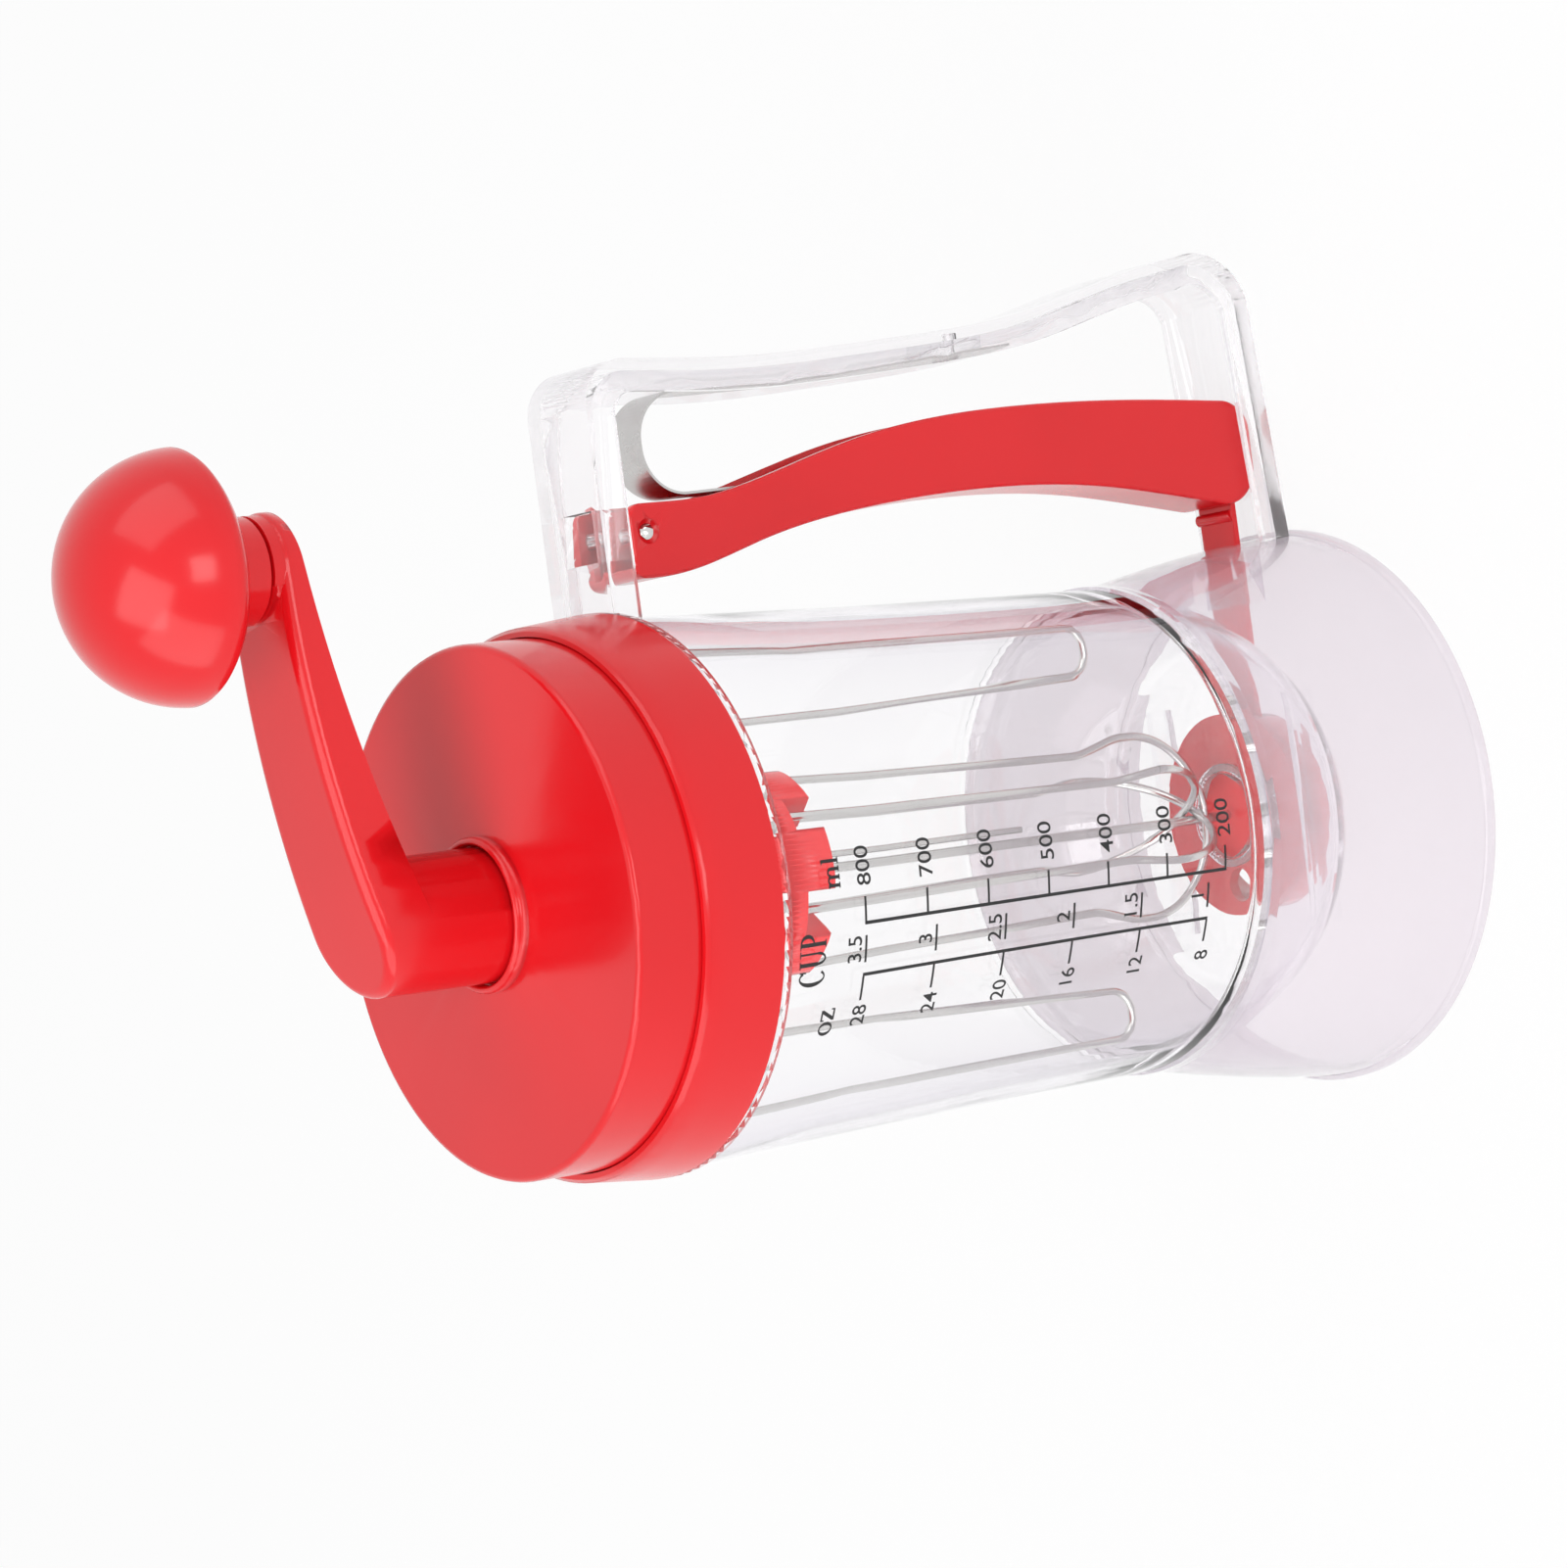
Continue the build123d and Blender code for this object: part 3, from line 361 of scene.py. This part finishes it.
def shown(node, angle=SMOOTH_ANGLE, rides=True):
    """The piece that stands for a CAD node: its own surface, welded and smooth.

    Clear faces that lie on each other turn black, so a neighbour of the cup shrinks by a film of air.
    """
    form = bmesh.new()
    form.from_mesh(frame["nodes"][node].data)
    bmesh.ops.remove_doubles(form, verts=form.verts, dist=WELD_DISTANCE)
    if node in CUP_NEIGHBOURS:
        form.normal_update()
        for vert in form.verts:
            vert.co -= vert.normal * AIR_FILM
    mesh = bpy.data.meshes.new("show_" + node)
    form.to_mesh(mesh)
    form.free()
    slot = NODE_SLOTS[node]
    body = NODE_BODY[node] if rides else None
    material = NODE_MATERIALS.get(node, SLOT_MATERIALS[slot])
    return finish_piece(mesh, "show_" + node, body, material, [node], angle)


def leaf_spring():
    """The leaf between the handle's bar and the trigger, on no body, with its place baked into its mesh.
    """
    spring = shown("leaf_spring", SPRING_SMOOTH_ANGLE, rides=False)
    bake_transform(spring)


# ------------------------------------------------------------------ printed scale
def wall_radius(height):
    """Outside radius of the cup's wall at a height, on a parabola through its three rings."""
    radius = 0.0
    for ring_radius, ring_height in WALL_RINGS:
        share = 1.0
        for _, other_height in WALL_RINGS:
            if other_height != ring_height:
                share *= (height - other_height) / (ring_height - other_height)
        radius += share * ring_radius
    return radius


def wrapped(form):
    """Lays a flat print, drawn as degrees round the wall and height, on the cup."""
    for vert in form.verts:
        angle = math.radians(vert.co.x)
        height = vert.co.y
        radius = wall_radius(height) + PRINT_LIFT
        vert.co = Vector((radius * math.cos(angle), radius * math.sin(angle), height)) * MM


def add_bar(form, left, right, low, high):
    """A printed line between two angles and two heights, cut up so that it follows the wall."""
    outline = ((left, low), (right, low), (right, high), (left, high))
    strip = form.faces.new([form.verts.new((x, y, 0)) for x, y in outline])
    long_edges = [edge for edge in strip.edges if edge.calc_length() > LONG_EDGE]
    if long_edges:
        cuts = TALL_LINE_CUTS if high - low > TALL_LINE else TICK_CUTS
        bmesh.ops.subdivide_edges(form, edges=long_edges, cuts=cuts)


def add_figure(form, words, angle, middle, stretch):
    """A figure in plain letters, centred on an angle and a height."""
    curve = bpy.data.curves.new("words", "FONT")
    curve.body = words
    curve.size = FIGURE_HEIGHT / CAPITAL_SHARE
    curve.align_x = "CENTER"
    curve.offset = FIGURE_WEIGHT
    text = bpy.data.objects.new("words", curve)
    mesh = bpy.data.meshes.new_from_object(text)
    start = len(form.verts)
    form.from_mesh(mesh)
    form.verts.ensure_lookup_table()
    degree = math.degrees(1 / wall_radius(middle))
    for vert in form.verts[start:]:
        vert.co.x = angle + vert.co.x * stretch * degree
        vert.co.y = middle - FIGURE_HEIGHT / 2 + vert.co.y
    bpy.data.objects.remove(text)
    bpy.data.curves.remove(curve)
    bpy.data.meshes.remove(mesh)


def bow(centre_x, centre_y, reach, rise, start, end, thin, thick, steps=20):
    """Part of an oval pen stroke, thick at its sides and thin at its top and bottom."""
    stroke = []
    for step in range(steps + 1):
        turn = math.radians(start + (end - start) * step / steps)
        width = thin + (thick - thin) * math.cos(turn) ** 2
        stroke.append((centre_x + reach * math.cos(turn), centre_y + rise * math.sin(turn), width))
    return stroke


# Serif letters of the three headings: advance, then pen strokes of (x, y, width) in millimetres.
SERIF = {
    "C": (3.2, [
        bow(1.6, 2.8, 1.3, 2.65, 48, 312, 0.24, 0.6),
        [(2.6, 4.1, 0.22), (2.6, 5.5, 0.22)],
    ]),
    "U": (3.4, [
        [(0.75, 5.5, 0.55), (0.75, 1.7, 0.55)],
        bow(1.67, 1.75, 0.92, 1.6, 180, 360, 0.26, 0.4),
        [(2.6, 1.7, 0.28), (2.6, 5.5, 0.28)],
        [(0.1, 5.5, 0.2), (1.4, 5.5, 0.2)],
        [(2.0, 5.5, 0.2), (3.2, 5.5, 0.2)],
    ]),
    "P": (2.9, [
        [(0.8, 0.1, 0.55), (0.8, 5.5, 0.55)],
        bow(0.95, 4.05, 1.35, 1.4, 90, -90, 0.24, 0.55),
        [(0.15, 0.1, 0.2), (1.5, 0.1, 0.2)],
        [(0.15, 5.5, 0.2), (1.0, 5.5, 0.2)],
    ]),
    "m": (4.1, [
        [(0.6, 0.1, 0.46), (0.6, 2.4, 0.46)],
        [(2.0, 0.1, 0.46), (2.0, 1.8, 0.46)],
        [(3.4, 0.1, 0.46), (3.4, 1.8, 0.46)],
        bow(1.38, 1.75, 0.62, 0.65, 170, 0, 0.26, 0.44),
        bow(2.78, 1.75, 0.62, 0.65, 170, 0, 0.26, 0.44),
        [(0.1, 2.32, 0.2), (0.7, 2.4, 0.2)],
        [(0.1, 0.1, 0.2), (1.1, 0.1, 0.2)],
        [(1.5, 0.1, 0.2), (2.5, 0.1, 0.2)],
        [(2.9, 0.1, 0.2), (3.9, 0.1, 0.2)],
    ]),
    "l": (1.4, [
        [(0.7, 0.1, 0.46), (0.7, 3.7, 0.46)],
        [(0.15, 3.55, 0.2), (0.8, 3.65, 0.2)],
        [(0.15, 0.1, 0.2), (1.25, 0.1, 0.2)],
    ]),
    "o": (2.4, [
        bow(1.15, 1.25, 0.92, 1.15, 0, 360, 0.2, 0.46, 36),
    ]),
    "z": (2.3, [
        [(0.15, 2.35, 0.26), (2.0, 2.35, 0.26)],
        [(0.15, 0.12, 0.26), (2.1, 0.12, 0.26)],
        [(0.35, 0.15, 0.44), (1.8, 2.3, 0.44)],
        [(0.2, 1.85, 0.2), (0.2, 2.4, 0.2)],
        [(2.05, 0.1, 0.2), (2.05, 0.65, 0.2)],
    ]),
}


def add_stroke(form, stroke, left, foot, size):
    """One pen stroke of a letter that starts at an angle and stands on a height, as a strip."""
    degree = size * math.degrees(1 / wall_radius(foot))
    pairs = []
    for step, (x, y, width) in enumerate(stroke):
        before = stroke[max(step - 1, 0)]
        after = stroke[min(step + 1, len(stroke) - 1)]
        along = Vector((after[0] - before[0], after[1] - before[1])).normalized()
        across = Vector((-along.y, along.x)) * (width * PEN_WEIGHT / 2)
        pair = []
        for side in (1, -1):
            turn = left + (x + across.x * side) * degree
            height = foot + (y + across.y * side) * size
            pair.append(form.verts.new((turn, height, 0)))
        pairs.append(pair)
    for (near, far), (next_near, next_far) in zip(pairs, pairs[1:]):
        form.faces.new((near, far, next_far, next_near))


def add_heading(form, words, angle, foot, size):
    """A serif heading centred on an angle, standing on a height."""
    degree = size * math.degrees(1 / wall_radius(foot))
    left = angle - sum(SERIF[letter][0] for letter in words) / 2 * degree
    for letter in words:
        advance, strokes = SERIF[letter]
        for stroke in strokes:
            add_stroke(form, stroke, left, foot, size)
        left += advance * degree


def print_scale(name, figures, top, pitch, ticks, figure_angle, rise, stretch, heading, line=None):
    """One scale on the cup: a row of ticks with figures down from the top, under a heading.

    ticks are the two angles a tick spans, rise is a figure's height over its tick, heading is
    (words, angle, foot, size), and line is the (angle, foot) of an upright line that joins the ticks.
    """
    form = bmesh.new()
    if line:
        line_angle, line_foot = line
        add_bar(form, line_angle, line_angle + LINE_TURN, line_foot, LINE_TOP)
    for step, words in enumerate(figures):
        height = top - step * pitch
        add_bar(form, *ticks, height - TICK_HEIGHT / 2, height + TICK_HEIGHT / 2)
        add_figure(form, words, figure_angle, height + rise, stretch)
    add_heading(form, *heading)
    bmesh.ops.triangulate(form, faces=form.faces)
    wrapped(form)
    mesh = bpy.data.meshes.new(name)
    form.to_mesh(mesh)
    form.free()
    finish_piece(mesh, name, "base", INK)


# ------------------------------------------------------------------ studio
def is_seen_directly(tree):
    """1 for camera, glossy and transmission rays, 0 for the light the object gets."""
    path = tree.nodes.new("ShaderNodeLightPath")
    seen = math_node(tree, "MAXIMUM", path.outputs["Is Camera Ray"], path.outputs["Is Glossy Ray"])
    return math_node(tree, "MAXIMUM", seen, path.outputs["Is Transmission Ray"])


def mixed_shader(tree, share, first, second, output):
    """Sends a mix of two shaders to an output socket."""
    mix = tree.nodes.new("ShaderNodeMixShader")
    tree.links.new(share, mix.inputs["Fac"])
    tree.links.new(first.outputs[0], mix.inputs[1])
    tree.links.new(second.outputs[0], mix.inputs[2])
    tree.links.new(mix.outputs[0], output)


def make_floor():
    """A pale floor that glows almost white where it is seen and keeps the object's shadow."""
    form = bmesh.new()
    bmesh.ops.create_grid(form, x_segments=1, y_segments=1, size=FLOOR_HALF)
    mesh = bpy.data.meshes.new("studio_floor")
    form.to_mesh(mesh)
    form.free()
    floor = bpy.data.objects.new("studio_floor", mesh)
    bpy.context.scene.collection.objects.link(floor)
    material, tree, shader = new_material("white_studio_floor")
    shader.inputs["Base Color"].default_value = (FLOOR_TONE, FLOOR_TONE, FLOOR_TONE, 1)
    shader.inputs["Roughness"].default_value = 0.9
    shader.inputs["Specular IOR Level"].default_value = 0.0
    glow = tree.nodes.new("ShaderNodeEmission")
    glow.inputs["Strength"].default_value = 1.0
    share = math_node(tree, "MULTIPLY", is_seen_directly(tree), FLOOR_GLOW_SHARE)
    mixed_shader(tree, share, shader, glow, tree.nodes["Material Output"].inputs["Surface"])
    mesh.materials.append(material)


def make_world():
    """White air where it is seen, and a dimmer, cooler air for the light it gives."""
    world = bpy.data.worlds.new("studio_air")
    world.use_nodes = True
    bpy.context.scene.world = world
    tree = world.node_tree
    air = tree.nodes["Background"]
    air.inputs["Color"].default_value = (*AIR_COLOUR, 1)
    air.inputs["Strength"].default_value = AIR_STRENGTH
    white = tree.nodes.new("ShaderNodeBackground")
    white.inputs["Color"].default_value = (1, 1, 1, 1)
    white.inputs["Strength"].default_value = 1.0
    mixed_shader(tree, is_seen_directly(tree), air, white, tree.nodes["World Output"].inputs["Surface"])


def soft_box(name, place, target, size, power):
    """A rectangular lamp that faces a target."""
    lamp = bpy.data.lights.new(name, "AREA")
    lamp.shape = "RECTANGLE"
    lamp.size, lamp.size_y = size
    lamp.energy = power
    holder = bpy.data.objects.new(name, lamp)
    bpy.context.scene.collection.objects.link(holder)
    holder.location = place
    aim = Vector(target) - Vector(place)
    holder.rotation_euler = aim.to_track_quat("-Z", "Y").to_euler()


def make_camera():
    """The photograph's view: a long lens above the lid, turned on its side."""
    lens = bpy.data.cameras.new("camera")
    lens.sensor_width = 36.0
    lens.lens = CAMERA_LENS
    lens.clip_start = 0.05
    lens.clip_end = 50.0
    camera = bpy.data.objects.new("camera", lens)
    bpy.context.scene.collection.objects.link(camera)
    camera.location = CAMERA_PLACE
    aim = (Vector(CAMERA_TARGET) - Vector(CAMERA_PLACE)).to_track_quat("-Z", "Y")
    roll = Quaternion((0, 0, 1), math.radians(CAMERA_ROLL))
    camera.rotation_euler = (aim @ roll).to_euler()
    bpy.context.scene.camera = camera


# ------------------------------------------------------------------ the whole scene
for node_name in frame["nodes"]:
    if node_name != "leaf_spring":
        shown(node_name)
leaf_spring()
print_scale(
    "print_millilitres",
    figures=[str(800 - 100 * step) for step in range(7)],
    top=147.8,
    pitch=14.35,
    ticks=(-102.2, -96.5),
    figure_angle=-90.2,
    rise=0.0,
    stretch=1.1,
    heading=("ml", -90.9, 153.2, 1.06),
    line=(-102.3, 61.5),
)
print_scale(
    "print_cups",
    figures=("3.5", "3", "2.5", "2", "1.5", "1"),
    top=147.7,
    pitch=16.36,
    ticks=(-110.2, -104.5),
    figure_angle=-107.2,
    rise=2.6,
    stretch=0.98,
    heading=("CUP", -107.9, 156.9, 1.05),
)
print_scale(
    "print_ounces",
    figures=[str(28 - 4 * step) for step in range(6)],
    top=147.8,
    pitch=16.42,
    ticks=(-118.5, -113.2),
    figure_angle=-122.0,
    rise=-0.2,
    stretch=0.98,
    heading=("oz", -122.2, 153.3, 1.2),
    line=(-113.2, 65.5),
)
make_floor()
make_world()
for box_name, box in SOFT_BOXES.items():
    soft_box(box_name, **box)
make_camera()
bpy.context.scene.view_settings.view_transform = "Standard"
